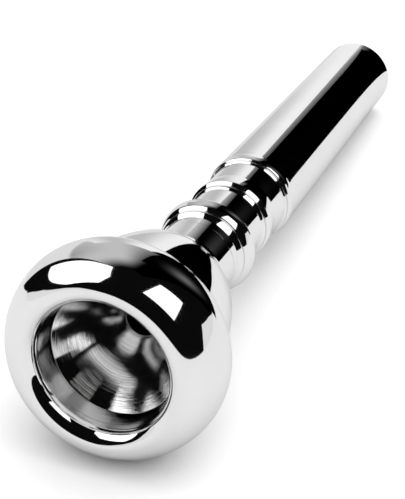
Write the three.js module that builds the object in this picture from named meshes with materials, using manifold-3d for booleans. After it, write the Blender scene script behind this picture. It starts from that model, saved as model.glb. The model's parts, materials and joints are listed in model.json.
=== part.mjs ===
// A brass-wind mouthpiece that comes apart into a screw rim, a cup and a backbore,
// with a rubber ring at each of the two screwed joints. Millimetres, +Z up.
//
// Every piece is turned about one axis. Along it, a station is the distance from the rim's
// face towards the shank's end. The mouthpiece lies on its side on the plane z = 0, on the
// widest part of its rim and on the end of its shank, with the rim's opening facing -Y.

import * as THREE from 'three';
import { mergeVertices } from 'three/addons/utils/BufferGeometryUtils.js';
import Module from 'manifold-3d';

const wasm = await Module();
wasm.setup();

// ---- Driving dimensions, in millimetres ----

const FACETS = 30;                 // flat sides on every turned surface
const ARC_STEPS = 3;               // straight steps along each curve of a profile
const BEAD_STEPS = 2;              // the same along the backbore's small curves
const SEAT_GAP = 0.3;              // space left between two shoulders that seat on each other

// Rim
const RIM_DIAMETER = 27.5;
const RIM_WIDEST_AT = 6.0;         // station of the largest diameter
const RIM_HEIGHT = 10.0;
const RIM_BULGE = 1.45;            // radial, from the rim's sharp rear edge to its widest ring
const RIM_CREST_DIAMETER = 20.6;   // the high circle that the lips rest on
const BITE_DIAMETER = 16.8;
const BITE_AT = 1.9;               // station where the rounded lip meets the bowl wall
const RIM_SHOULDER_AT = 4.8;       // station of the shoulder inside the rim

// Cup
const RIM_LEDGE = 1.25;            // radial, from the cup's shoulder to the rim's rear edge
const CUP_LENGTH = 19.0;           // from the shoulder under the rim to the neck's end
const CUP_WAIST_DIAMETER = 16.9;   // where the body turns in towards the neck
const CUP_WAIST_AT = 10.2;         // from the shoulder
const COVE_DIAMETER = 13.8;        // where the body's curve turns hollow
const COVE_AT = 12.2;              // from the shoulder
const NECK_DIAMETER = 10.2;
const NECK_AT = 15.6;              // from the shoulder
const BOWL_MOUTH_DIAMETER = 16.1;  // bowl at the joint between rim and cup
const BOWL_KNEE_DIAMETER = 8.7;    // where the bowl's two cones would cross
const BOWL_KNEE_AT = 4.05;         // from the spigot's top
const BOWL_KNEE_ROUND = 0.5;       // share of each cone that the knee's curve replaces
const BOWL_BOTTOM_DIAMETER = 4.4;
const BOWL_DEPTH = 7.65;           // from the spigot's top to the foot of the bowl
const THROAT_DIAMETER = 3.66;
const THROAT_AT = 9.25;            // from the spigot's top

// Screw joint between rim and cup
const SHOULDER_WIDTH = 1.2;        // radial, from the root of the spigot's thread
const RIM_THREAD = { pitch: 1.5, depth: 0.57, rootWidth: 0.95, crestWidth: 0.3 };
const RIM_THREAD_START = 0.7;      // from the spigot's top
const RIM_THREAD_LENGTH = 3.4;

// Screw joint between cup and backbore
const STEM_LENGTH = 7.0;
const STEM_DIAMETER = 6.8;         // at the root of its thread
const STEM_THREAD = { pitch: 1.25, depth: 0.52, rootWidth: 0.8, crestWidth: 0.25 };
const STEM_THREAD_START = 0.9;     // from the cup's rear face
const STEM_THREAD_LENGTH = 3.5;
const PILOT_STEP = 0.2;            // radial, from the thread's root to the stem's plain end
const PILOT_AT = 4.6;              // from the cup's rear face
const PILOT_CLEARANCE = 0.3;       // radial, between the pilot and its socket

// Both threads
const THREAD_CLEARANCE = 0.18;     // radial, between a thread and its nut
const FLANK_CLEARANCE = 0.1;       // along the axis, on each side of a thread
const THREAD_SINK = 0.2;           // how far a thread's foot is sunk into its piece
const LEAD_IN = 0.6;               // chamfer at the mouth of a threaded hole

// Sealing rings
const RING_SECTION = 0.8;
const RING_CLEARANCE = 0.1;        // between a ring and the groove around it
const RIM_RING_INSET = 0.7;        // radial, from the spigot's outside to the ring's centre line
const STEM_RING_AT = 5.6;          // from the cup's rear face

// Backbore
const BACKBORE_LENGTH = 59.0;
const BORE_START_DIAMETER = 3.9;
const BORE_END_DIAMETER = 7.9;
const SHANK_END_DIAMETER = 9.3;
const SHANK_TAPER = 1 / 20;        // change of diameter per length
const SHANK_END_CHAMFER = 0.2;
const SHANK_START_AT = 19.8;       // from the backbore's front face

// The three beads. Each is a sloping step, a fine groove and a rounded ring. The rises are
// radial, from the neck in front of the bead, and the stations are from the backbore's front
// face. The leads are how far along the axis each curve's control point lies from its start,
// or for the tail from its end.
const BEADS = [
  {
    start: 1.26, stepRise: 0.5, stepLead: 0.38, groove: 2.14,
    ringRise: 1.14, ringLead: 0.64, peak: 4.15, tail: 1.18, end: 5.36,
  },
  {
    start: 9.89, stepRise: 0.29, stepLead: 0.3, groove: 10.56,
    ringRise: 0.61, ringLead: 0.42, peak: 11.18, tail: 1.36, end: 13.51,
  },
  {
    start: 17.08, stepRise: 0.21, stepLead: 0.17, groove: 17.48,
    ringRise: 0.5, ringLead: 0.17, peak: 18.58, tail: 0.34, end: 19.12,
  },
];
const BEAD_SHOULDER = 0.68;        // share of the step's rise reached at its control point
const SECOND_NECK_DIAMETER = 9.75; // between the first two beads
const SHANK_STEP = 0.43;           // radial, from the third neck up to the shank
const BEAD_GROOVE_DEPTH = 0.1;
const BEAD_GROOVE_WIDTH = 0.3;

// ---- Stations that follow from them ----

const cupShoulderAt = RIM_HEIGHT + SEAT_GAP;
const spigotLength = RIM_HEIGHT - RIM_SHOULDER_AT;
const backboreAt = cupShoulderAt + CUP_LENGTH + SEAT_GAP;
const grooveWidth = RING_SECTION + 2 * RING_CLEARANCE;

// ---- Radii that follow from them ----

const rimRearRadius = RIM_DIAMETER / 2 - RIM_BULGE;
const cupShoulderRadius = rimRearRadius - RIM_LEDGE;
const spigotRadius = cupShoulderRadius - SHOULDER_WIDTH;
const rimBoreRadius = spigotRadius + THREAD_CLEARANCE;
const rimRingRadius = spigotRadius - RIM_RING_INSET;
const stemRadius = STEM_DIAMETER / 2;
const pilotRadius = stemRadius - PILOT_STEP;
const pilotSocketRadius = pilotRadius + PILOT_CLEARANCE;
const stemRingRadius = pilotSocketRadius - RING_CLEARANCE - RING_SECTION / 2;
const shankEndRadius = SHANK_END_DIAMETER / 2;
const shankRun = BACKBORE_LENGTH - SHANK_START_AT;
const shankStartRadius = shankEndRadius + (shankRun * SHANK_TAPER) / 2;

// ---- Turning and joining ----

// A profile is a path in (radius, station). The turned solid is closed because the path is.
function turned(path, steps = ARC_STEPS) {
  const points = path.getPoints(steps);
  const last = points[points.length - 1];
  if (last.distanceTo(points[0]) > 1e-6) points.push(points[0].clone());
  return new THREE.LatheGeometry(points, FACETS, Math.PI / FACETS);
}

function bare(geometry) {
  geometry.deleteAttribute('normal');
  geometry.deleteAttribute('uv');
  return mergeVertices(geometry, 1e-5);
}

function toSolid(geometry) {
  const merged = bare(geometry);
  const mesh = new wasm.Mesh({
    numProp: 3,
    vertProperties: new Float32Array(merged.attributes.position.array),
    triVerts: new Uint32Array(merged.index.array),
  });
  return new wasm.Manifold(mesh);
}

function toGeometry(solid) {
  const mesh = solid.getMesh();
  const geometry = new THREE.BufferGeometry();
  geometry.setAttribute('position', new THREE.BufferAttribute(mesh.vertProperties, 3));
  geometry.setIndex(new THREE.BufferAttribute(mesh.triVerts, 1));
  geometry.computeVertexNormals();
  return geometry;
}

// A right-hand helical ridge with a flat crest, from station `from` to station `to`. Its centre
// passes through `datum` at angle zero, so a nut cut with the same datum is in mesh with it.
function helicalRidge({ radius, thread, grow, from, to, datum, fade }) {
  const { pitch, depth, rootWidth, crestWidth } = thread;
  const slope = (rootWidth - crestWidth) / 2 / depth;
  const foot = radius - THREAD_SINK;
  const footHalf = rootWidth / 2 + THREAD_SINK * slope + grow;
  const crestHalf = crestWidth / 2 + grow;
  const step = (2 * Math.PI) / FACETS;
  const first = Math.ceil(((from - datum) / pitch) * FACETS);
  const last = Math.floor(((to - datum) / pitch) * FACETS);
  const positions = [];
  const index = [];
  for (let i = first; i <= last; i += 1) {
    const angle = (i + 0.5) * step;
    const station = datum + (pitch * angle) / (2 * Math.PI);
    const inset = Math.min(1, (i - first) / fade, (last - i) / fade);
    const crest = foot + (radius + depth - foot) * (fade ? Math.max(0.05, inset) : 1);
    const section = [
      [foot, station - footHalf],
      [crest, station - crestHalf],
      [crest, station + crestHalf],
      [foot, station + footHalf],
    ];
    for (const [r, y] of section) positions.push(r * Math.sin(angle), y, r * Math.cos(angle));
  }
  const rows = last - first;
  for (let i = 0; i < rows; i += 1) {
    for (let k = 0; k < 4; k += 1) {
      const a = 4 * i + k;
      const b = 4 * i + ((k + 1) % 4);
      index.push(a, a + 4, b, b, a + 4, b + 4);
    }
  }
  const end = 4 * rows;
  index.push(0, 1, 2, 0, 2, 3);
  index.push(end, end + 2, end + 1, end, end + 3, end + 2);
  const geometry = new THREE.BufferGeometry();
  geometry.setAttribute('position', new THREE.Float32BufferAttribute(positions, 3));
  geometry.setIndex(index);
  return geometry;
}

function withThread(geometry, ridge) {
  return toGeometry(toSolid(geometry).add(toSolid(helicalRidge(ridge))));
}

function withNut(geometry, ridge) {
  return toGeometry(toSolid(geometry).subtract(toSolid(helicalRidge(ridge))));
}

// ---- Rim ----

const rimThreadFrom = RIM_SHOULDER_AT + SEAT_GAP + RIM_THREAD_START;

function rimOutline(path) {
  const widest = RIM_DIAMETER / 2;
  const crest = RIM_CREST_DIAMETER / 2;
  const rear = rimRearRadius;
  path.moveTo(crest, 0);
  path.bezierCurveTo(crest + 1.5, 0, widest, RIM_WIDEST_AT * 0.42, widest, RIM_WIDEST_AT);
  path.bezierCurveTo(widest, RIM_HEIGHT - 2.2, rear + 0.75, RIM_HEIGHT - 0.75, rear, RIM_HEIGHT);
  return path;
}

function rimGeometry() {
  const bite = BITE_DIAMETER / 2;
  const mouth = BOWL_MOUTH_DIAMETER / 2;
  const ring = rimRingRadius;
  const floor = RIM_SHOULDER_AT - RING_SECTION + RING_CLEARANCE;
  const path = rimOutline(new THREE.Path());
  path.lineTo(rimBoreRadius + LEAD_IN, RIM_HEIGHT);
  path.lineTo(rimBoreRadius, RIM_HEIGHT - LEAD_IN);
  path.lineTo(rimBoreRadius, RIM_SHOULDER_AT);
  path.lineTo(ring + grooveWidth / 2, RIM_SHOULDER_AT);
  path.lineTo(ring + grooveWidth / 2, floor);
  path.lineTo(ring - grooveWidth / 2, floor);
  path.lineTo(ring - grooveWidth / 2, RIM_SHOULDER_AT);
  path.lineTo(mouth, RIM_SHOULDER_AT);
  path.lineTo(bite, BITE_AT);
  path.bezierCurveTo(bite + 0.1, BITE_AT - 1.2, bite + 0.9, 0, RIM_CREST_DIAMETER / 2, 0);
  return withNut(turned(path), {
    radius: spigotRadius,
    thread: { ...RIM_THREAD, depth: RIM_THREAD.depth + THREAD_CLEARANCE },
    grow: FLANK_CLEARANCE,
    from: rimThreadFrom - 0.6 * RIM_THREAD.pitch,
    to: RIM_HEIGHT + RIM_THREAD.pitch,
    datum: rimThreadFrom,
    fade: 0,
  });
}

// ---- Cup, from its shoulder: the spigot stands up to -spigotLength, the stem reaches down ----

function cupBody(path) {
  const waist = CUP_WAIST_DIAMETER / 2;
  const cove = COVE_DIAMETER / 2;
  const neck = NECK_DIAMETER / 2;
  path.lineTo(cupShoulderRadius, 0);
  path.quadraticCurveTo(waist + 1.9, CUP_WAIST_AT - 4.6, waist, CUP_WAIST_AT);
  path.quadraticCurveTo(waist - 0.35, CUP_WAIST_AT + 0.85, cove, COVE_AT);
  path.quadraticCurveTo(neck + 0.25, COVE_AT + 1.5, neck, NECK_AT);
  path.lineTo(neck, CUP_LENGTH);
}

function cupStem(path) {
  const tip = CUP_LENGTH + STEM_LENGTH;
  const pilot = pilotRadius;
  const ring = CUP_LENGTH + STEM_RING_AT;
  const ringSeat = stemRingRadius - RING_SECTION / 2 - RING_CLEARANCE;
  path.lineTo(stemRadius, CUP_LENGTH);
  path.lineTo(stemRadius, CUP_LENGTH + PILOT_AT - 0.1);
  path.lineTo(pilot, CUP_LENGTH + PILOT_AT);
  path.lineTo(pilot, ring - grooveWidth / 2);
  path.lineTo(ringSeat, ring - grooveWidth / 2);
  path.lineTo(ringSeat, ring + grooveWidth / 2);
  path.lineTo(pilot, ring + grooveWidth / 2);
  path.lineTo(pilot, tip - 0.2);
  path.lineTo(pilot - 0.2, tip);
  path.lineTo(BORE_START_DIAMETER / 2, tip);
}

// The bowl is a wide cone and a narrower one, with a curve where they cross.
function cupBowl(path) {
  const top = -spigotLength;
  const throat = THROAT_DIAMETER / 2;
  const bottom = new THREE.Vector2(BOWL_BOTTOM_DIAMETER / 2, top + BOWL_DEPTH);
  const mouth = new THREE.Vector2(BOWL_MOUTH_DIAMETER / 2, top);
  const knee = new THREE.Vector2(BOWL_KNEE_DIAMETER / 2, top + BOWL_KNEE_AT);
  const low = knee.clone().lerp(bottom, BOWL_KNEE_ROUND);
  const high = knee.clone().lerp(mouth, BOWL_KNEE_ROUND);
  path.lineTo(throat, CUP_LENGTH - 1.5);
  path.lineTo(throat, top + THROAT_AT);
  path.quadraticCurveTo(throat, bottom.y + 0.2, bottom.x, bottom.y);
  path.lineTo(low.x, low.y);
  path.quadraticCurveTo(knee.x, knee.y, high.x, high.y);
  path.lineTo(mouth.x, mouth.y);
}

function cupGeometry() {
  const top = -spigotLength;
  const path = new THREE.Path();
  path.moveTo(BOWL_MOUTH_DIAMETER / 2, top);
  path.lineTo(spigotRadius - 0.3, top);
  path.lineTo(spigotRadius, top + 0.3);
  path.lineTo(spigotRadius, 0);
  cupBody(path);
  cupStem(path);
  cupBowl(path);
  const spigot = withThread(turned(path), {
    radius: spigotRadius,
    thread: RIM_THREAD,
    grow: 0,
    from: rimThreadFrom - cupShoulderAt,
    to: rimThreadFrom - cupShoulderAt + RIM_THREAD_LENGTH,
    datum: rimThreadFrom - cupShoulderAt,
    fade: FACETS / 4,
  });
  return withThread(spigot, {
    radius: stemRadius,
    thread: STEM_THREAD,
    grow: 0,
    from: CUP_LENGTH + STEM_THREAD_START,
    to: CUP_LENGTH + STEM_THREAD_START + STEM_THREAD_LENGTH,
    datum: CUP_LENGTH + STEM_THREAD_START,
    fade: FACETS / 4,
  });
}

// ---- Backbore, from its front face ----

function bead(path, sizes, neck, nextNeck) {
  const { start, stepLead, groove, ringLead, peak, tail, end } = sizes;
  const step = neck + sizes.stepRise;
  const ring = neck + sizes.ringRise;
  const shoulder = neck + sizes.stepRise * BEAD_SHOULDER;
  const front = groove - BEAD_GROOVE_WIDTH / 2;
  const back = groove + BEAD_GROOVE_WIDTH / 2;
  path.lineTo(neck, start);
  path.quadraticCurveTo(shoulder, start + stepLead, step, front);
  path.lineTo(step - BEAD_GROOVE_DEPTH, groove);
  path.lineTo(step, back);
  path.quadraticCurveTo(ring, back + ringLead, ring, peak);
  path.quadraticCurveTo(ring, end - tail, nextNeck, end);
}

function backboreGeometry() {
  const socket = stemRadius + THREAD_CLEARANCE;
  const pilot = pilotSocketRadius;
  const thirdNeck = shankStartRadius - SHANK_STEP;
  const necks = [NECK_DIAMETER / 2, SECOND_NECK_DIAMETER / 2, thirdNeck, shankStartRadius];
  const boreStart = BORE_START_DIAMETER / 2;
  const boreEnd = BORE_END_DIAMETER / 2;
  const path = new THREE.Path();
  path.moveTo(socket + LEAD_IN, 0);
  path.lineTo(necks[0], 0);
  BEADS.forEach((sizes, i) => bead(path, sizes, necks[i], necks[i + 1]));
  path.lineTo(shankStartRadius, SHANK_START_AT);
  path.lineTo(shankEndRadius, BACKBORE_LENGTH - SHANK_END_CHAMFER);
  path.lineTo(shankEndRadius - SHANK_END_CHAMFER, BACKBORE_LENGTH);
  path.lineTo(boreEnd, BACKBORE_LENGTH);
  path.quadraticCurveTo(boreEnd - 1.1, BACKBORE_LENGTH / 2, boreStart, STEM_LENGTH);
  path.lineTo(pilot, STEM_LENGTH);
  path.lineTo(pilot, PILOT_AT + 0.3);
  path.lineTo(socket, PILOT_AT + 0.3);
  path.lineTo(socket, LEAD_IN);
  const threadFrom = STEM_THREAD_START - SEAT_GAP;
  return withNut(turned(path, BEAD_STEPS), {
    radius: stemRadius,
    thread: { ...STEM_THREAD, depth: STEM_THREAD.depth + THREAD_CLEARANCE },
    grow: FLANK_CLEARANCE,
    from: -STEM_THREAD.pitch,
    to: threadFrom + STEM_THREAD_LENGTH + 0.4 * STEM_THREAD.pitch,
    datum: threadFrom,
    fade: 0,
  });
}

// ---- Sealing rings ----

function ringGeometry(radius) {
  const path = new THREE.Path();
  for (let i = 0; i < 6; i += 1) {
    const angle = (i * Math.PI) / 3;
    const r = radius + (RING_SECTION / 2) * Math.cos(angle);
    const y = (RING_SECTION / 2) * Math.sin(angle);
    if (i === 0) path.moveTo(r, y);
    else path.lineTo(r, y);
  }
  return bare(turned(path));
}

// ---- Materials ----

const silverPlate = { color: 0xe9e9e6, roughness: 0.05, metalness: 1.0 };
const blackRubber = { color: 0x1a1a1a, roughness: 0.7, metalness: 0.0 };

function piece(name, geometry, finish, station) {
  const mesh = new THREE.Mesh(geometry, new THREE.MeshStandardMaterial(finish));
  mesh.name = name;
  mesh.position.y = station;
  return mesh;
}

// ---- Assembly along the axis ----

const rimRingAt = RIM_SHOULDER_AT + 2 * RING_CLEARANCE - RING_SECTION / 2;
const stemRingAt = cupShoulderAt + CUP_LENGTH + STEM_RING_AT;

const turnedAxis = new THREE.Group();
turnedAxis.add(
  piece('rim', rimGeometry(), silverPlate, 0),
  piece('rim_seal', ringGeometry(rimRingRadius), blackRubber, rimRingAt),
  piece('cup', cupGeometry(), silverPlate, cupShoulderAt),
  piece('cup_seal', ringGeometry(stemRingRadius), blackRubber, stemRingAt),
  piece('backbore', backboreGeometry(), silverPlate, backboreAt),
);

// Lying down, a line touches the rim and the shank's last full diameter. The steepest line
// from the shank to any ring of the rim is the one the mouthpiece rests along.
function restingTilt() {
  const flat = Math.cos(Math.PI / FACETS);
  const endStation = backboreAt + BACKBORE_LENGTH - SHANK_END_CHAMFER;
  const rings = rimOutline(new THREE.Path()).getPoints(ARC_STEPS);
  const tilts = rings.map((p) => Math.atan2((p.x - shankEndRadius) * flat, endStation - p.y));
  return Math.max(...tilts);
}

const mouthpiece = new THREE.Group();
mouthpiece.add(turnedAxis);
turnedAxis.rotation.x = -restingTilt();
mouthpiece.updateMatrixWorld(true);
const extent = new THREE.Box3().setFromObject(mouthpiece, true);
const middle = extent.getCenter(new THREE.Vector3());
turnedAxis.position.set(-middle.x, -middle.y, -extent.min.z);

export default mouthpiece;
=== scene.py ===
"""The looks of a silver-plated brass mouthpiece in three screwed pieces with two sealing rings.

Each piece is turned about the mouthpiece's axis. Along it, a station is the distance from the
rim's face towards the shank's end. Sizes are in millimetres until a mesh is made; Blender's
metres are used from there on.
"""

import json
import math

import bpy
import numpy as np
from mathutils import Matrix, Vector


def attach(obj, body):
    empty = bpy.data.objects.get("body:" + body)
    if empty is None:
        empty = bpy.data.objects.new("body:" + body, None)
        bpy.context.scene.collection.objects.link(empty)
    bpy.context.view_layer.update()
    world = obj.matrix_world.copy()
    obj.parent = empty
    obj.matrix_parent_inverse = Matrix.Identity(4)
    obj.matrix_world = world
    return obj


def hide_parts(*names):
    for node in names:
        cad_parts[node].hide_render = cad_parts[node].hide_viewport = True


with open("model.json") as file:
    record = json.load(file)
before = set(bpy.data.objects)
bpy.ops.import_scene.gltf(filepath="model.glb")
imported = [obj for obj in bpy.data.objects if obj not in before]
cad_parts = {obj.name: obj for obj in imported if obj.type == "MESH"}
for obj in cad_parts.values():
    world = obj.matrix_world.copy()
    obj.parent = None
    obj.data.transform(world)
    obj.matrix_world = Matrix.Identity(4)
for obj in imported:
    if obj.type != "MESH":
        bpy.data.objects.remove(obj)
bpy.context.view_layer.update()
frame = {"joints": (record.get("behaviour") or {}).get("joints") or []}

MM = 0.001
AROUND = 256                 # facets of a turned surface
FINE = 0.12                  # longest step along a curve of a profile
THREAD_STEP = 0.1            # the same along a thread
BORE_STEP = 0.8              # the same along the backbore's long, nearly straight curve
HOLD = 0.08                  # a straight run has extra rows of vertices this near to its ends
CORNER_STEPS = 5             # steps round a rounded corner
RING_STEPS = 48              # steps round the section of a sealing ring

# ---- Sizes, as in the CAD source ----

SEAT_GAP = 0.3

RIM_DIAMETER = 27.5
RIM_WIDEST_AT = 6.0
RIM_HEIGHT = 10.0
RIM_BULGE = 1.45
RIM_CREST_DIAMETER = 20.6
BITE_DIAMETER = 16.8
BITE_AT = 1.9
RIM_SHOULDER_AT = 4.8

RIM_LEDGE = 1.25
CUP_LENGTH = 19.0
CUP_WAIST_DIAMETER = 16.9
CUP_WAIST_AT = 10.2
COVE_DIAMETER = 13.8
COVE_AT = 12.2
NECK_DIAMETER = 10.2
NECK_AT = 15.6
BOWL_MOUTH_DIAMETER = 16.1
BOWL_KNEE_DIAMETER = 8.7
BOWL_KNEE_AT = 4.05
BOWL_KNEE_ROUND = 0.5
BOWL_BOTTOM_DIAMETER = 4.4
BOWL_DEPTH = 7.65
THROAT_DIAMETER = 3.66
THROAT_AT = 9.25

SHOULDER_WIDTH = 1.2
RIM_THREAD = dict(pitch=1.5, depth=0.57, root=0.95, crest=0.3)
RIM_THREAD_START = 0.7
RIM_THREAD_LENGTH = 3.4

STEM_LENGTH = 7.0
STEM_DIAMETER = 6.8
STEM_THREAD = dict(pitch=1.25, depth=0.52, root=0.8, crest=0.25)
STEM_THREAD_START = 0.9
STEM_THREAD_LENGTH = 3.5
PILOT_STEP = 0.2
PILOT_AT = 4.6
PILOT_CLEARANCE = 0.3

THREAD_CLEARANCE = 0.18
FLANK_CLEARANCE = 0.1
LEAD_IN = 0.6

RING_SECTION = 0.8
RING_CLEARANCE = 0.1
RIM_RING_INSET = 0.7
STEM_RING_AT = 5.6

BACKBORE_LENGTH = 59.0
BORE_START_DIAMETER = 3.9
BORE_END_DIAMETER = 7.9
SHANK_END_DIAMETER = 9.3
SHANK_TAPER = 1 / 20
SHANK_END_CHAMFER = 0.2
SHANK_START_AT = 19.8
BEADS = [
    dict(start=1.26, step=0.5, step_lead=0.38, groove=2.14,
         ring=1.14, ring_lead=0.64, peak=4.15, tail=1.18, end=5.36),
    dict(start=9.89, step=0.29, step_lead=0.3, groove=10.56,
         ring=0.61, ring_lead=0.42, peak=11.18, tail=1.36, end=13.51),
    dict(start=17.08, step=0.21, step_lead=0.17, groove=17.48,
         ring=0.5, ring_lead=0.17, peak=18.58, tail=0.34, end=19.12),
]
BEAD_SHOULDER = 0.68
SECOND_NECK_DIAMETER = 9.75
SHANK_STEP = 0.43
BEAD_GROOVE_DEPTH = 0.1
BEAD_GROOVE_WIDTH = 0.3

CUP_AT = RIM_HEIGHT + SEAT_GAP
SPIGOT_LENGTH = RIM_HEIGHT - RIM_SHOULDER_AT
BACKBORE_AT = CUP_AT + CUP_LENGTH + SEAT_GAP
RIM_RING_AT = RIM_SHOULDER_AT + 2 * RING_CLEARANCE - RING_SECTION / 2
RING_GROOVE = RING_SECTION + 2 * RING_CLEARANCE

RIM_REAR = RIM_DIAMETER / 2 - RIM_BULGE
CUP_SHOULDER = RIM_REAR - RIM_LEDGE
SPIGOT = CUP_SHOULDER - SHOULDER_WIDTH
RIM_BORE = SPIGOT + THREAD_CLEARANCE
RIM_RING = SPIGOT - RIM_RING_INSET
STEM = STEM_DIAMETER / 2
PILOT = STEM - PILOT_STEP
PILOT_SOCKET = PILOT + PILOT_CLEARANCE
STEM_RING = PILOT_SOCKET - RING_CLEARANCE - RING_SECTION / 2
SHANK_END = SHANK_END_DIAMETER / 2
SHANK_START = SHANK_END + (BACKBORE_LENGTH - SHANK_START_AT) * SHANK_TAPER / 2

# ---- Sizes that only the finished surfaces have ----

EDGE = 0.06                  # radius of a polished edge
CRISP = 0.03                 # radius of an edge left nearly sharp
SEAM = 0.04                  # what stays open between two shoulders that seat on each other
CLOSED = SEAT_GAP - SEAM     # how much of the gap between two shoulders is closed up
BITE_EDGE = 0.3              # rounding of the corner where the bowl meets the bite
END_EDGE = 0.1               # radius of the edges at the shank's end
SPIGOT_CHAMFER = 0.3
PILOT_CHAMFER = 0.2
THREAD_RUN = 0.5             # length over which a thread rises to its full height
THREAD_SOFTNESS = 0.35       # share of a rounded flank in a thread's section
FLASH_HEIGHT = 0.012         # the line that its mould leaves on a sealing ring
FLASH_WIDTH = 0.12           # half of that line's width, in radians of the ring's section


# ---- The turning axis ----

turn = next(j for j in frame["joints"] if j["name"] == "rim_turn")
FACE = np.array(turn["pos_m"])
ALONG = -np.array(turn["axis"]) / np.linalg.norm(turn["axis"])
SIDE = np.array([1.0, 0.0, 0.0])
UP = np.cross(SIDE, ALONG)


# ---- Profiles ----

POLISHED, TURNED, THREADED, RECESS = range(4)


class Profile:
    """A closed path in (radius, station), with a finish for each run and rounded corners."""

    def __init__(self, radius, station):
        self.runs, self.rounds, self.finishes = [], [], []
        self.at = np.array([radius, station], float)

    def _add(self, points, finish, edge):
        self.runs.append(np.array(points, float))
        self.finishes.append(finish)
        self.rounds.append(edge)
        self.at = self.runs[-1][-1]
        return self

    def line(self, radius, station, edge=0.0, finish=POLISHED, step=None):
        """A straight run; edge is the rounding of the corner at its far end."""
        end = np.array([radius, station], float)
        length = np.linalg.norm(end - self.at)
        if step:
            parts = np.linspace(0, 1, max(2, math.ceil(length / step)) + 1)
        else:
            near = min(HOLD / length, 0.25)
            parts = np.array([0, near, 0.5, 1 - near, 1])
        return self._add([self.at + (end - self.at) * t for t in parts], finish, edge)

    def curve(self, *controls, edge=0.0, finish=POLISHED, step=FINE):
        """A Bezier run of degree 2 or 3 through the given control points."""
        points = [self.at] + [np.array(c, float) for c in controls]
        reach = sum(np.linalg.norm(b - a) for a, b in zip(points, points[1:]))
        steps = max(8, math.ceil(reach / step))
        out = []
        for t in np.linspace(0, 1, steps + 1):
            level = points
            while len(level) > 1:
                level = [a + (b - a) * t for a, b in zip(level, level[1:])]
            out.append(level[0])
        return self._add(out, finish, edge)

    def sampled(self):
        """(points, finishes) of the whole loop, with its corners rounded."""
        runs = [r.copy() for r in self.runs]
        joins = []
        for i, edge in enumerate(self.rounds):
            j = (i + 1) % len(runs)
            if edge <= 0:
                joins.append(None)
                continue
            corner = runs[i][-1].copy()
            runs[i] = shortened(runs[i], edge)
            runs[j] = shortened(runs[j][::-1], edge)[::-1]
            joins.append(corner)
        points, finishes = [], []
        for i, run in enumerate(runs):
            points += list(run[:-1])
            finishes += [self.finishes[i]] * (len(run) - 1)
            if joins[i] is None:
                continue
            a, c, b = run[-1], joins[i], runs[(i + 1) % len(runs)][0]
            for t in np.linspace(0, 1, CORNER_STEPS + 1)[:-1]:
                points.append((1 - t) ** 2 * a + 2 * t * (1 - t) * c + t * t * b)
                finishes.append(self.finishes[i])
        return np.array(points), np.array(finishes)


def shortened(run, cut):
    """A run with a length cut off its end."""
    left = cut
    while len(run) > 2 and np.linalg.norm(run[-1] - run[-2]) <= left:
        left -= np.linalg.norm(run[-1] - run[-2])
        run = run[:-1]
    step = run[-2] - run[-1]
    run = run.copy()
    run[-1] = run[-1] + step * min(0.9, left / np.linalg.norm(step))
    return run


def bead(path, sizes, neck, next_neck):
    """A sloping step, a fine groove and a rounded ring on the backbore."""
    step, ring = neck + sizes["step"], neck + sizes["ring"]
    shoulder = neck + sizes["step"] * BEAD_SHOULDER
    groove, half = sizes["groove"], BEAD_GROOVE_WIDTH / 2
    path.line(neck, sizes["start"], edge=EDGE)
    path.curve((shoulder, sizes["start"] + sizes["step_lead"]), (step, groove - half), edge=CRISP)
    path.line(step - BEAD_GROOVE_DEPTH, groove, edge=CRISP, finish=RECESS)
    path.line(step, groove + half, edge=CRISP, finish=RECESS)
    path.curve((ring, groove + half + sizes["ring_lead"]), (ring, sizes["peak"]))
    path.curve((ring, sizes["end"] - sizes["tail"]), (next_neck, sizes["end"]), edge=EDGE)


def bowl(path, top, lip):
    """From the throat up a narrow cone, round the knee and up a wide cone to the cup's lip."""
    bottom = np.array([BOWL_BOTTOM_DIAMETER / 2, top + BOWL_DEPTH])
    mouth = np.array([BOWL_MOUTH_DIAMETER / 2, lip])
    knee = np.array([BOWL_KNEE_DIAMETER / 2, top + BOWL_KNEE_AT])
    path.curve((THROAT_DIAMETER / 2, bottom[1] + 0.2), bottom, finish=TURNED)
    path.line(*(knee + (bottom - knee) * BOWL_KNEE_ROUND), finish=TURNED)
    path.curve(knee, knee + (mouth - knee) * BOWL_KNEE_ROUND, finish=TURNED)
    path.line(*mouth, edge=CRISP, finish=TURNED)


# ---- Threads ----

def ridge(thread, datum, first, last, grow=0.0):
    """A function of (angle, station) that gives a right-hand thread's height."""
    half_root = thread["root"] / 2 + grow
    half_crest = thread["crest"] / 2 + grow

    def height(angle, station):
        turns = (station - datum) / thread["pitch"] - angle / (2 * math.pi)
        off = np.abs(turns - np.round(turns)) * thread["pitch"]
        rise = np.clip((half_root - off) / (half_root - half_crest), 0, 1)
        rise = rise * rise * (3 - 2 * rise) * THREAD_SOFTNESS + rise * (1 - THREAD_SOFTNESS)
        run_in = np.clip((station - first) / THREAD_RUN, 0, 1)
        run_out = np.clip((last - station) / THREAD_RUN, 0, 1)
        return thread["depth"] * rise * run_in * run_out

    return height


# ---- Turned meshes ----

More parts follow.
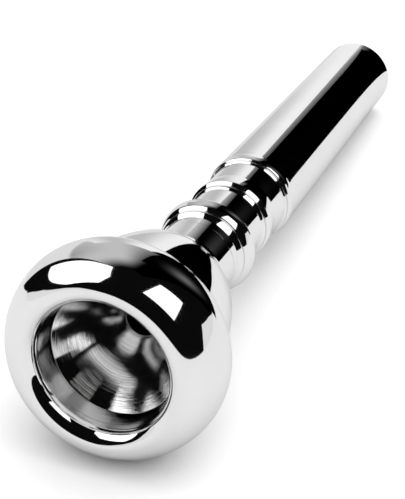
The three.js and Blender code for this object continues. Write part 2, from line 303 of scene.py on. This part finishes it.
def turned(name, profile, at, thread=None):
    """A lathe-turned mesh. Each vertex keeps its place on the bar (for the tool marks), and how
    much it shows of the lathe, of a thread cutter and of a recess that polish misses."""
    points, finishes = profile.sampled()
    radius, station = points[:, 0], points[:, 1]
    steps = np.linalg.norm(np.diff(points, axis=0, append=points[:1]), axis=1)
    travelled = np.concatenate([[0.0], np.cumsum(steps)[:-1]])
    angle = np.arange(AROUND) * 2 * math.pi / AROUND
    a, s = np.meshgrid(angle, station)
    r = np.repeat(radius[:, None], AROUND, axis=1)
    for height, chosen in thread or []:
        rows = chosen(radius, station, finishes)
        r[rows] += height(a[rows], s[rows])
    place = (
        FACE
        + ((at + s) * MM)[..., None] * ALONG
        + (r * np.sin(a) * MM)[..., None] * SIDE
        + (r * np.cos(a) * MM)[..., None] * UP
    )
    rows, cols = r.shape
    i, j = np.meshgrid(np.arange(rows), np.arange(cols), indexing="ij")
    i2, j2 = (i + 1) % rows, (j + 1) % cols
    corner = [i * cols + j, i * cols + j2, i2 * cols + j2, i2 * cols + j]
    faces = np.stack(corner, axis=-1).reshape(-1, 4)
    if signed_area(points) < 0:
        faces = faces[:, ::-1]
    mesh = bpy.data.meshes.new(name)
    mesh.from_pydata(place.reshape(-1, 3).tolist(), [], faces.tolist())
    mesh.shade_smooth()
    v = np.repeat(travelled[:, None], cols, axis=1)
    bar = np.stack([np.sin(a) * r, np.cos(a) * r, v], axis=-1).reshape(-1, 3)
    keep(mesh, "bar", "FLOAT_VECTOR", bar)
    # The recess and lathe shares also set where the plate's colour gets painted shade.
    for label, finish in (("lathe", TURNED), ("cutter", THREADED), ("recess", RECESS)):
        share = softened((finishes == finish).astype(float))
        keep(mesh, label, "FLOAT", np.repeat(share[:, None], cols, axis=1))
    unwrap(mesh, rows, cols, travelled, steps, radius)
    obj = bpy.data.objects.new(name, mesh)
    bpy.context.scene.collection.objects.link(obj)
    return obj


def signed_area(points):
    """Positive when the loop's faces, as numbered, face outwards."""
    r, s = points[:, 0], points[:, 1]
    return float(np.sum(r * np.roll(s, -1) - s * np.roll(r, -1)))


def softened(values):
    """Values along a closed profile, blurred over their neighbours."""
    return (np.roll(values, 1) + 2 * values + np.roll(values, -1)) / 4


def keep(mesh, name, kind, values):
    """Stores values for each vertex."""
    layer = mesh.attributes.new(name, kind, "POINT")
    field = "vector" if kind == "FLOAT_VECTOR" else "value"
    layer.data.foreach_set(field, np.asarray(values, np.float32).ravel())


def unwrap(mesh, rows, cols, travelled, steps, radius):
    """UVs with one turn across and the profile's length up, at the same scale."""
    width = 2 * math.pi * float(np.mean(radius))
    length = float(travelled[-1] + steps[-1])
    scale = 1 / max(width, length)
    index = np.empty(len(mesh.loops), np.int64)
    mesh.loops.foreach_get("vertex_index", index)
    u = (index % cols) / cols
    v = travelled[index // cols] * scale
    quad_u, quad_v = u.reshape(-1, 4), v.reshape(-1, 4)
    wraps = (quad_u.max(1) - quad_u.min(1)) > 0.5
    quad_u[wraps] = np.where(quad_u[wraps] < 0.5, quad_u[wraps] + 1, quad_u[wraps])
    last = (quad_v.max(1) - quad_v.min(1)) > 0.5 * length * scale
    quad_v[last] = np.where(quad_v[last] == 0, length * scale, quad_v[last])
    uv = np.stack([quad_u.ravel() * width * scale, quad_v.ravel()], axis=1)
    layer = mesh.uv_layers.new(name="UVMap")
    layer.data.foreach_set("uv", uv.astype(np.float32).ravel())


# ---- The five pieces ----

def make_rim():
    bite, mouth = BITE_DIAMETER / 2, BOWL_MOUTH_DIAMETER / 2
    crest, widest, rear = RIM_CREST_DIAMETER / 2, RIM_DIAMETER / 2, RIM_REAR
    floor = RIM_SHOULDER_AT - RING_SECTION + RING_CLEARANCE
    p = Profile(crest, 0)
    p.curve((crest + 1.5, 0), (widest, RIM_WIDEST_AT * 0.42), (widest, RIM_WIDEST_AT))
    p.curve((widest, RIM_HEIGHT - 2.2), (rear + 0.75, RIM_HEIGHT - 0.75), (rear, RIM_HEIGHT), edge=EDGE)
    p.line(RIM_BORE + LEAD_IN, RIM_HEIGHT, edge=CRISP, finish=TURNED)
    p.line(RIM_BORE, RIM_HEIGHT - LEAD_IN, edge=CRISP, finish=TURNED)
    p.line(RIM_BORE, RIM_SHOULDER_AT, finish=THREADED, step=THREAD_STEP)
    p.line(RIM_RING + RING_GROOVE / 2, RIM_SHOULDER_AT, edge=CRISP, finish=TURNED)
    p.line(RIM_RING + RING_GROOVE / 2, floor, edge=EDGE, finish=RECESS)
    p.line(RIM_RING - RING_GROOVE / 2, floor, edge=EDGE, finish=RECESS)
    p.line(RIM_RING - RING_GROOVE / 2, RIM_SHOULDER_AT, edge=CRISP, finish=RECESS)
    p.line(mouth, RIM_SHOULDER_AT, edge=CRISP, finish=TURNED)
    p.line(bite, BITE_AT, edge=BITE_EDGE, finish=TURNED)
    p.curve((bite + 0.1, BITE_AT - 1.2), (bite + 0.9, 0), (crest, 0))
    start = RIM_SHOULDER_AT + SEAT_GAP + RIM_THREAD_START
    nut = ridge(RIM_THREAD, start, RIM_SHOULDER_AT + 0.3, RIM_HEIGHT + 2, FLANK_CLEARANCE)
    near = lambda r, s, f: (f == THREADED) & (s > RIM_SHOULDER_AT + 0.3)
    return turned("rim_turned", p, 0, [(nut, near)])


def make_cup():
    waist, cove, neck = CUP_WAIST_DIAMETER / 2, COVE_DIAMETER / 2, NECK_DIAMETER / 2
    mouth, throat = BOWL_MOUTH_DIAMETER / 2, THROAT_DIAMETER / 2
    top, tip, ring = -SPIGOT_LENGTH, CUP_LENGTH + STEM_LENGTH, CUP_LENGTH + STEM_RING_AT
    seat = STEM_RING - RING_SECTION / 2 - RING_CLEARANCE
    lip = top - CLOSED
    p = Profile(mouth, lip)
    p.line(RIM_RING - RING_GROOVE / 2, lip, edge=CRISP, finish=TURNED)
    p.line(RIM_RING - RING_GROOVE / 2, top, edge=CRISP, finish=TURNED)
    p.line(SPIGOT - SPIGOT_CHAMFER, top, edge=CRISP, finish=TURNED)
    p.line(SPIGOT, top + SPIGOT_CHAMFER, edge=CRISP, finish=TURNED)
    p.line(SPIGOT, -CLOSED, finish=THREADED, step=THREAD_STEP)
    p.line(CUP_SHOULDER, -CLOSED, edge=EDGE, finish=TURNED)
    p.curve((waist + 1.9, CUP_WAIST_AT - 4.6), (waist, CUP_WAIST_AT))
    p.curve((waist - 0.35, CUP_WAIST_AT + 0.85), (cove, COVE_AT))
    p.curve((neck + 0.25, COVE_AT + 1.5), (neck, NECK_AT))
    p.line(neck, CUP_LENGTH + CLOSED, edge=CRISP)
    p.line(STEM, CUP_LENGTH + CLOSED, edge=CRISP, finish=TURNED)
    p.line(STEM, CUP_LENGTH + PILOT_AT - 0.1, finish=THREADED, step=THREAD_STEP)
    p.line(PILOT, CUP_LENGTH + PILOT_AT, edge=CRISP, finish=TURNED)
    p.line(PILOT, ring - RING_GROOVE / 2, edge=CRISP, finish=TURNED)
    p.line(seat, ring - RING_GROOVE / 2, edge=EDGE, finish=RECESS)
    p.line(seat, ring + RING_GROOVE / 2, edge=EDGE, finish=RECESS)
    p.line(PILOT, ring + RING_GROOVE / 2, edge=CRISP, finish=RECESS)
    p.line(PILOT, tip - PILOT_CHAMFER, edge=CRISP, finish=TURNED)
    p.line(PILOT - PILOT_CHAMFER, tip, edge=CRISP, finish=TURNED)
    p.line(BORE_START_DIAMETER / 2, tip, edge=CRISP, finish=TURNED)
    p.line(throat, CUP_LENGTH - 1.5, finish=TURNED)
    p.line(throat, top + THROAT_AT, finish=TURNED)
    bowl(p, top, lip)
    spigot_from = -SPIGOT_LENGTH + RIM_THREAD_START
    spigot = ridge(RIM_THREAD, spigot_from, spigot_from - 0.5, spigot_from + RIM_THREAD_LENGTH)
    stem_from = CUP_LENGTH + STEM_THREAD_START
    stem = ridge(STEM_THREAD, stem_from, stem_from - 0.4, stem_from + STEM_THREAD_LENGTH)
    on_spigot = lambda r, s, f: (f == THREADED) & (s < 0)
    on_stem = lambda r, s, f: (f == THREADED) & (s > CUP_LENGTH)
    return turned("cup_turned", p, CUP_AT, [(spigot, on_spigot), (stem, on_stem)])


def make_backbore():
    socket, third_neck = STEM + THREAD_CLEARANCE, SHANK_START - SHANK_STEP
    necks = [NECK_DIAMETER / 2, SECOND_NECK_DIAMETER / 2, third_neck, SHANK_START]
    bore_start, bore_end = BORE_START_DIAMETER / 2, BORE_END_DIAMETER / 2
    p = Profile(socket + LEAD_IN, 0)
    p.line(necks[0], 0, edge=CRISP, finish=TURNED)
    for i, sizes in enumerate(BEADS):
        bead(p, sizes, necks[i], necks[i + 1])
    p.line(SHANK_START, SHANK_START_AT, edge=CRISP)
    p.line(SHANK_END, BACKBORE_LENGTH - SHANK_END_CHAMFER, edge=END_EDGE)
    p.line(SHANK_END - SHANK_END_CHAMFER, BACKBORE_LENGTH, edge=END_EDGE)
    p.line(bore_end, BACKBORE_LENGTH, edge=CRISP, finish=TURNED)
    p.curve((bore_end - 1.1, BACKBORE_LENGTH / 2), (bore_start, STEM_LENGTH),
            edge=CRISP, finish=TURNED, step=BORE_STEP)
    p.line(PILOT_SOCKET, STEM_LENGTH, edge=CRISP, finish=TURNED)
    p.line(PILOT_SOCKET, PILOT_AT + 0.3, edge=CRISP, finish=TURNED)
    p.line(socket, PILOT_AT + 0.3, edge=CRISP, finish=TURNED)
    p.line(socket, LEAD_IN, finish=THREADED, step=THREAD_STEP)
    p.line(socket + LEAD_IN, 0, edge=CRISP, finish=TURNED)
    start = STEM_THREAD_START - SEAT_GAP
    nut = ridge(STEM_THREAD, start, -2, PILOT_AT, FLANK_CLEARANCE)
    near = lambda r, s, f: (f == THREADED) & (s > 0)
    return turned("backbore_turned", p, BACKBORE_AT, [(nut, near)])


def make_ring(name, radius, at):
    """A moulded sealing ring, with the thin flash line that its mould leaves inside and out."""
    half = RING_SECTION / 2
    p = Profile(radius + half, 0)
    line = lambda off: math.exp(-(off / FLASH_WIDTH) ** 2)
    flash = lambda t: FLASH_HEIGHT * (line(t) + line(t - math.pi))
    turns = np.linspace(0, 2 * math.pi, RING_STEPS + 1)
    loop = [
        (radius + (half + flash(min(t, 2 * math.pi - t))) * math.cos(t), half * math.sin(t))
        for t in turns
    ]
    p._add(loop, POLISHED, 0.0)
    return turned(name, p, at)


# ---- Materials ----

def new_material(name):
    mat = bpy.data.materials.new(name)
    mat.use_nodes = True
    tree = mat.node_tree
    return mat, tree, tree.nodes["Principled BSDF"]


def node(tree, kind, **inputs):
    n = tree.nodes.new(kind)
    for key, value in inputs.items():
        n.inputs[key.replace("_", " ")].default_value = value
    return n


def stretched_noise(tree, across, along, detail, rough=0.55):
    """Noise on the bar: `across` per mm round the bar and `along` per mm of travel."""
    place = node(tree, "ShaderNodeAttribute")
    place.attribute_name = "bar"
    scale = node(tree, "ShaderNodeVectorMath")
    scale.operation = "MULTIPLY"
    scale.inputs[1].default_value = (across, across, along)
    noise = node(tree, "ShaderNodeTexNoise", Scale=1.0, Detail=detail, Roughness=rough)
    tree.links.new(place.outputs["Vector"], scale.inputs[0])
    tree.links.new(scale.outputs[0], noise.inputs["Vector"])
    return noise.outputs["Fac"]


def ramp(tree, source, low, high, to_low, to_high):
    n = node(tree, "ShaderNodeMapRange")
    for key, value in (("From Min", low), ("From Max", high), ("To Min", to_low), ("To Max", to_high)):
        n.inputs[key].default_value = value
    tree.links.new(source, n.inputs["Value"])
    return n.outputs["Result"]


def maths(tree, operation, a, b):
    n = tree.nodes.new("ShaderNodeMath")
    n.operation = operation
    for socket, value in zip(n.inputs, (a, b)):
        if isinstance(value, (int, float)):
            socket.default_value = value
        else:
            tree.links.new(value, socket)
    return n.outputs[0]


def share(tree, name):
    n = tree.nodes.new("ShaderNodeAttribute")
    n.attribute_name = name
    return n.outputs["Fac"]


def blend_colour(tree, factor, a, b):
    n = tree.nodes.new("ShaderNodeMix")
    n.data_type = "RGBA"
    tree.links.new(factor, n.inputs["Factor"])
    for key, value in (("A", a), ("B", b)):
        socket = next(s for s in n.inputs if s.name == key and s.type == "RGBA")
        if isinstance(value, tuple):
            socket.default_value = value
        else:
            tree.links.new(value, socket)
    return next(s for s in n.outputs if s.type == "RGBA")


def silver_plate(name, seed):
    """Silver plate on turned brass: a mirror with faint lathe lines, buffing haze, brass showing at
    the crests of the threads, and painted shade: darker grey in the recesses and on the turned hollows."""
    mat, tree, shader = new_material(name)
    shader.inputs["Metallic"].default_value = 1.0
    lathe, cutter, recess = (share(tree, n) for n in ("lathe", "cutter", "recess"))

    haze = stretched_noise(tree, 0.11, 0.16 + 0.01 * seed, 4)
    lines = stretched_noise(tree, 0.045, 9.0 + seed, 3, 0.65)
    coarse = stretched_noise(tree, 0.03, 2.3, 2)

    smooth = ramp(tree, haze, 0.3, 0.75, 0.035, 0.06)
    rough = maths(tree, "ADD", smooth, maths(tree, "MULTIPLY", lathe, 0.01))
    rough = maths(tree, "ADD", rough, maths(tree, "MULTIPLY", cutter, 0.16))
    rough = maths(tree, "ADD", rough, maths(tree, "MULTIPLY", recess, 0.1))
    tree.links.new(rough, shader.inputs["Roughness"])

    plate = blend_colour(tree, ramp(tree, haze, 0.35, 0.7, 0, 1),
                         (0.93, 0.93, 0.93, 1), (0.965, 0.965, 0.965, 1))
    # Lathe lines on the turned faces, mostly the bowl and the bores, in a dark grey that is partly the
    # tool marks and partly painted shade in these hollows.
    lathe_marks_and_shade = maths(tree, "MULTIPLY", lathe, ramp(tree, lines, 0.35, 0.65, 0.0, 1.0))
    plate = blend_colour(tree, lathe_marks_and_shade, plate, (0.62, 0.62, 0.62, 1))
    # Painted shade: a darker grey laid into the recesses, such as the fine grooves of the beads.
    painted_recess_shade = maths(tree, "MULTIPLY", recess, ramp(tree, lines, 0.3, 0.7, 0.35, 0.8))
    plate = blend_colour(tree, painted_recess_shade, plate, (0.45, 0.45, 0.44, 1))
    bare = maths(tree, "MULTIPLY", cutter, ramp(tree, haze, 0.4, 0.62, 0.1, 0.75))
    plate = blend_colour(tree, bare, plate, (0.8, 0.6, 0.32, 1))
    tree.links.new(plate, shader.inputs["Base Color"])

    marks = maths(tree, "MULTIPLY", lines, maths(tree, "ADD", maths(tree, "MULTIPLY", lathe, 3.5), 0.12))
    marks = maths(tree, "ADD", marks, maths(tree, "MULTIPLY", coarse, 0.35))
    bump = node(tree, "ShaderNodeBump", Strength=1.0, Distance=0.0000022)
    tree.links.new(marks, bump.inputs["Height"])
    tree.links.new(bump.outputs["Normal"], shader.inputs["Normal"])
    return mat


def rubber(name):
    """Moulded black rubber with a dusty, slightly uneven satin skin."""
    mat, tree, shader = new_material(name)
    shader.inputs["Specular IOR Level"].default_value = 0.4
    grain = stretched_noise(tree, 6.0, 6.0, 5)
    dust = stretched_noise(tree, 0.9, 0.9, 3)
    skin = blend_colour(tree, ramp(tree, dust, 0.45, 0.75, 0, 1),
                        (0.014, 0.014, 0.015, 1), (0.05, 0.048, 0.046, 1))
    tree.links.new(skin, shader.inputs["Base Color"])
    tree.links.new(ramp(tree, dust, 0.3, 0.7, 0.42, 0.68), shader.inputs["Roughness"])
    bump = node(tree, "ShaderNodeBump", Strength=1.0, Distance=0.00002)
    tree.links.new(grain, bump.inputs["Height"])
    tree.links.new(bump.outputs["Normal"], shader.inputs["Normal"])
    return mat


# ---- Assembly ----

def add_piece(obj, material, body):
    obj.data.materials.append(material)
    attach(obj, body)
    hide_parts(body)


add_piece(make_rim(), silver_plate("silver_rim", 0), "rim")
add_piece(make_cup(), silver_plate("silver_cup", 1), "cup")
add_piece(make_backbore(), silver_plate("silver_backbore", 2), "backbore")
ring_rubber = rubber("ring_rubber")
add_piece(make_ring("rim_ring", RIM_RING, RIM_RING_AT), ring_rubber, "rim_seal")
add_piece(make_ring("stem_ring", STEM_RING, CUP_AT + CUP_LENGTH + STEM_RING_AT),
          ring_rubber, "cup_seal")


# ---- Camera ----

CAMERA_AZIMUTH = 22.43
CAMERA_ELEVATION = 34.86
CAMERA_DISTANCE = 0.370
CAMERA_AIM = Vector((-0.00157, -0.00827, 0.00818))
CAMERA_LENS = 213.27         # for 36 mm along the picture's long side


def make_camera():
    a, e = math.radians(CAMERA_AZIMUTH), math.radians(CAMERA_ELEVATION)
    back = Vector((math.sin(a) * math.cos(e), -math.cos(a) * math.cos(e), math.sin(e)))
    camera = bpy.data.objects.new("camera", bpy.data.cameras.new("camera"))
    camera.location = CAMERA_AIM + back * CAMERA_DISTANCE
    camera.rotation_euler = (math.pi / 2 - e, 0, a)
    camera.data.sensor_width = 36
    camera.data.lens = CAMERA_LENS
    camera.data.clip_start, camera.data.clip_end = 0.01, 100
    bpy.context.scene.collection.objects.link(camera)
    bpy.context.scene.camera = camera


# ---- Studio ----
# Directions are (azimuth, elevation) from the mouthpiece: azimuth 0 is where the camera looks,
# positive to the right.

DOME = 3.0                   # distance of the lights and cards, in metres
AMBIENT_DISTANCE = 11.0
SKY_DISTANCE = 11.5
FLOOR_HALF = 12              # half of the floor's width, in metres
FLOOR_Z = -0.00010           # the round surfaces reach nearly this far below the CAD's flats
BOARD_Z = -0.00008
FLOOR_WHITE = 0.92
BOARD_WHITE = 0.58
NIGHT = 0.003                # the dark room round the lights

SOFTBOX = 1.35               # radiance, where 1 is the white of the picture
WHITE_CARD = 0.74
AMBIENT = 2.1
AMBIENT_LEAN = 0.3           # how much stronger the ambient light is from one side
AMBIENT_FROM = 80            # azimuth of that side

# Outlines of the flat lights and cards, as the directions of their corners.
KEY_SOFTBOX = [(-112, 22), (-45, 16), (-38, 72), (-110, 70), (-126, 45)]
FILL_SOFTBOX = [(88, 38), (138, 35), (165, 65), (78, 60)]
LEFT_CARD = [(-140, -4), (-52, -8), (-65, 1), (-74, 6), (-94, 12), (-117, 9), (-129, 8), (-138, 0)]
RIGHT_CARD = [(40, -12), (110, -6), (107, -1), (98, 8), (88, 14), (68, 6), (48, -6)]

HEADING = math.radians(CAMERA_AZIMUTH)
FORWARD = np.array([-math.sin(HEADING), math.cos(HEADING), 0])
RIGHT = np.array([math.cos(HEADING), math.sin(HEADING), 0])


def towards(azimuth, elevation, distance=DOME):
    a, e = math.radians(azimuth), math.radians(elevation)
    flat = FORWARD * math.cos(a) + RIGHT * math.sin(a)
    return distance * (flat * math.cos(e) + np.array([0, 0, math.sin(e)]))


def stage_mesh(name, vertices, faces, material, seen_by):
    mesh = bpy.data.meshes.new(name)
    mesh.from_pydata([tuple(map(float, v)) for v in vertices], [], faces)
    mesh.materials.append(material)
    obj = bpy.data.objects.new(name, mesh)
    bpy.context.scene.collection.objects.link(obj)
    for ray in ("camera", "diffuse", "glossy", "transmission", "volume_scatter", "shadow"):
        setattr(obj, "visible_" + ray, ray in seen_by)
    return obj


def glow(name, strength, attribute=None):
    mat = bpy.data.materials.new(name)
    mat.use_nodes = True
    tree = mat.node_tree
    tree.nodes.clear()
    out = tree.nodes.new("ShaderNodeOutputMaterial")
    light = tree.nodes.new("ShaderNodeEmission")
    light.inputs["Strength"].default_value = strength
    if attribute:
        tree.links.new(share(tree, attribute), light.inputs["Color"])
    tree.links.new(light.outputs[0], out.inputs["Surface"])
    return mat


def card(name, corners, strength):
    """A flat white panel given by the directions of its corners, which only the metal sees."""
    stage_mesh(name, [towards(*c) for c in corners], [tuple(range(len(corners)))],
               glow(name, strength), ("glossy",))


def smooth(value, low, high):
    x = np.clip((value - low) / (high - low), 0, 1)
    return x * x * (3 - 2 * x)


def backdrop_grey(azimuth, elevation):
    """The grey panel behind: it fades out upwards and to the right, where it ends sharply low
    down, and the paper in front of it rises in a slanting edge at its left."""
    panel = 0.53 * (1 - smooth(elevation, 50, 74))
    panel = panel * (1 - 0.36 * np.clip((-8 - azimuth) / 24, 0, 1) * np.clip((44 - elevation) / 18, 0, 1))
    soft = np.cos(np.clip((azimuth + 2) / 31, 0, 1) * math.pi / 2) ** 2
    sharp = 1 - smooth(azimuth, 12.5, 15)
    panel = panel * (soft + (sharp - soft) * (1 - smooth(elevation, 12, 20)))
    paper_edge = smooth(-azimuth - elevation, 8, 12)
    panel = panel + (0.74 - panel) * paper_edge * sharp
    return panel


def grid_faces(rows, cols):
    return [
        (i * cols + j, i * cols + j + 1, (i + 1) * cols + j + 1, (i + 1) * cols + j)
        for i in range(rows - 1) for j in range(cols - 1)
    ]


def make_backdrop():
    az, el = np.meshgrid(np.linspace(-38, 62, 101), np.linspace(-40, 74, 115))
    vertices = [towards(a, e) for a, e in zip(az.ravel(), el.ravel())]
    obj = stage_mesh("grey_panel", vertices, grid_faces(*az.shape),
                     glow("grey_panel", 1.0, "grey"), ("glossy",))
    keep(obj.data, "grey", "FLOAT", backdrop_grey(az, el))


def paper(name, value):
    """Matt white paper, with a trace of unevenness."""
    mat, tree, shader = new_material(name)
    shader.inputs["Roughness"].default_value = 0.9
    shader.inputs["Specular IOR Level"].default_value = 0.1
    where = tree.nodes.new("ShaderNodeNewGeometry")
    noise = node(tree, "ShaderNodeTexNoise", Scale=30.0, Detail=3.0)
    tree.links.new(where.outputs["Position"], noise.inputs["Vector"])
    tone = blend_colour(tree, noise.outputs["Fac"], (value, value, value, 1), (value * 0.985,) * 3 + (1,))
    tree.links.new(tone, shader.inputs["Base Color"])
    return mat


def table_point(right, forward):
    """A point of the table, in millimetres from under the rim's face."""
    under = np.array([FACE[0], FACE[1], 0])
    return under + (RIGHT * right + FORWARD * forward) * MM + np.array([0, 0, BOARD_Z])


def make_table():
    """The white board that the metal reflects, with its far corner just behind the mouthpiece."""
    corners = [(-7, 52), (1400, 1092), (2500, -2500), (-2500, -2500), (-1400, 840)]
    stage_mesh("board", [table_point(*c) for c in corners], [(0, 1, 2, 3, 4)],
               paper("board_paper", BOARD_WHITE), ("glossy",))


def make_floor():
    signs = [(-1, -1), (1, -1), (1, 1), (-1, 1)]
    corners = [(x * FLOOR_HALF, y * FLOOR_HALF, FLOOR_Z) for x, y in signs]
    stage_mesh("floor", corners, [(0, 1, 2, 3)], paper("floor_paper", FLOOR_WHITE),
               ("camera", "diffuse", "shadow"))


def standing_card(name, rights, heights, forward, grey):
    """A card standing on the table at that distance ahead, as grey as grey(right, height)."""
    x, z = np.meshgrid(np.linspace(*rights, 41), np.linspace(*heights, 41))
    vertices = [table_point(a, forward) + np.array([0, 0, b * MM]) for a, b in zip(x.ravel(), z.ravel())]
    obj = stage_mesh(name, vertices, grid_faces(*x.shape), glow(name, 1.0, "grey"), ("glossy",))
    keep(obj.data, "grey", "FLOAT", grey(x, z))


def make_bounce_cards():
    """A white card behind the shank, darker at its fold, and the dim glow beside it."""
    standing_card("bounce_card", (-28, 44), (-6, 66), 140,
                  lambda x, z: 0.52 + 0.38 * smooth(x, 0, 32) + 0.25 * smooth(-x, 2, 26))
    standing_card("dim_card", (34, 126), (6, 124), 80,
                  lambda x, z: 0.13 * np.exp(-((x - 88) / 20) ** 2 - ((z - 68) / 24) ** 2))


def ambient_grey(azimuth, elevation):
    """Light from above that fades towards the horizon, a little stronger from the right."""
    return smooth(elevation, 2, 62) * (1 + AMBIENT_LEAN * np.cos(np.radians(azimuth - AMBIENT_FROM)))


def make_dome(name, strength, seen_by, distance, grey):
    """A half sphere of light round the whole scene, as grey as grey(azimuth, elevation)."""
    az, el = np.meshgrid(np.linspace(0, 360, 49), np.linspace(-10, 90, 21))
    vertices = [towards(a, e, distance) for a, e in zip(az.ravel(), el.ravel())]
    obj = stage_mesh(name, vertices, grid_faces(*az.shape), glow(name, strength, "grey"), seen_by)
    keep(obj.data, "grey", "FLOAT", grey(az, el))


def make_studio():
    world = bpy.data.worlds.new("studio")
    bpy.context.scene.world = world
    world.use_nodes = True
    world.node_tree.nodes["Background"].inputs["Color"].default_value = (NIGHT, NIGHT, NIGHT, 1)
    card("key_softbox", KEY_SOFTBOX, SOFTBOX)
    card("fill_softbox", FILL_SOFTBOX, SOFTBOX)
    card("left_card", LEFT_CARD, WHITE_CARD)
    card("right_card", RIGHT_CARD, WHITE_CARD)
    make_bounce_cards()
    make_backdrop()
    make_table()
    make_floor()
    make_dome("sky", 1.0, ("camera",), SKY_DISTANCE, lambda azimuth, elevation: np.ones_like(azimuth))
    make_dome("ambient", AMBIENT, ("diffuse",), AMBIENT_DISTANCE, ambient_grey)


make_camera()
make_studio()
bpy.context.scene.view_settings.view_transform = "Standard"
